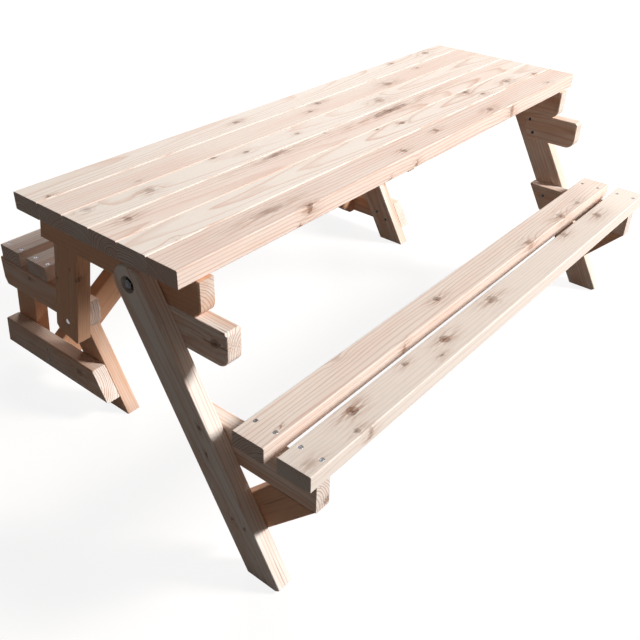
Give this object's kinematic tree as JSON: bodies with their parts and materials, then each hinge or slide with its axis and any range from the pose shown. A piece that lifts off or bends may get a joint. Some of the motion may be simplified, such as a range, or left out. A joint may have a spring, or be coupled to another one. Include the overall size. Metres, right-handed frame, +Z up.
{
  "type": "convertible picnic table bench",
  "caption": "Timber picnic table with a seat along each side, whose top folds over its pivots into the backrest of a bench with armrests.",
  "frame": {"origin": "on the ground, in the middle of the footprint as a table", "axes": "+X along the table, +Y from the front seat to the rear seat, +Z up"},
  "size_m": [1.8, 1.3296, 0.74],
  "materials": {
    "tabletop_planks": "planed softwood, untreated",
    "seat_planks": "planed softwood, untreated",
    "frame_boards": "planed softwood, untreated",
    "screws": "zinc plated, dulled",
    "pivot_steel": "dark zinc",
    "hinge_zinc": "bright zinc"
  },
  "bodies": {
    "front_frame": {"front_seat_plank_outer": "seat_planks", "front_seat_plank_inner": "seat_planks", "front_leg_left": "frame_boards", "armrest_left": "frame_boards", "front_seat_support_left": "frame_boards", "front_brace_left": "frame_boards", "front_leg_right": "frame_boards", "armrest_right": "frame_boards", "front_seat_support_right": "frame_boards", "front_brace_right": "frame_boards", "front_frame_screws": "screws", "front_seat_screws": "screws"},
    "tabletop": {"table_plank_1": "tabletop_planks", "table_plank_2": "tabletop_planks", "table_plank_3": "tabletop_planks", "table_plank_4": "tabletop_planks", "table_plank_5": "tabletop_planks", "table_plank_6": "tabletop_planks", "table_rail_left": "frame_boards", "table_hanger_left": "frame_boards", "table_rail_right": "frame_boards", "table_hanger_right": "frame_boards", "tabletop_screws": "screws", "pivot_bolts": "pivot_steel", "pivot_nuts": "pivot_steel", "pivot_washers": "pivot_steel", "hinge_bolts": "hinge_zinc", "hinge_nuts": "hinge_zinc", "hinge_washers": "hinge_zinc"},
    "rear_frame": {"rear_seat_plank_outer": "seat_planks", "rear_seat_plank_inner": "seat_planks", "rear_seat_support_left": "frame_boards", "rear_leg_left": "frame_boards", "low_beam_left": "frame_boards", "rear_post_left": "frame_boards", "long_brace_left": "frame_boards", "rear_seat_support_right": "frame_boards", "rear_leg_right": "frame_boards", "low_beam_right": "frame_boards", "rear_post_right": "frame_boards", "long_brace_right": "frame_boards", "rear_frame_screws": "screws", "rear_seat_screws": "screws"}
  },
  "joints": [
    {"name": "tabletop_fold", "type": "hinge", "parent": "front_frame", "child": "tabletop", "pos_m": [0, -0.17082, 0.646], "axis": [1, 0, 0], "range_deg": [-101.9, 0]},
    {"name": "rear_frame_swing", "type": "hinge", "parent": "tabletop", "child": "rear_frame", "pos_m": [0, 0.24018, 0.326], "axis": [1, 0, 0], "range_deg": [0, 101.9]}
  ],
  "couplings": [
    {"joint": "rear_frame_swing", "follows": "tabletop_fold", "ratio": -1}
  ]
}
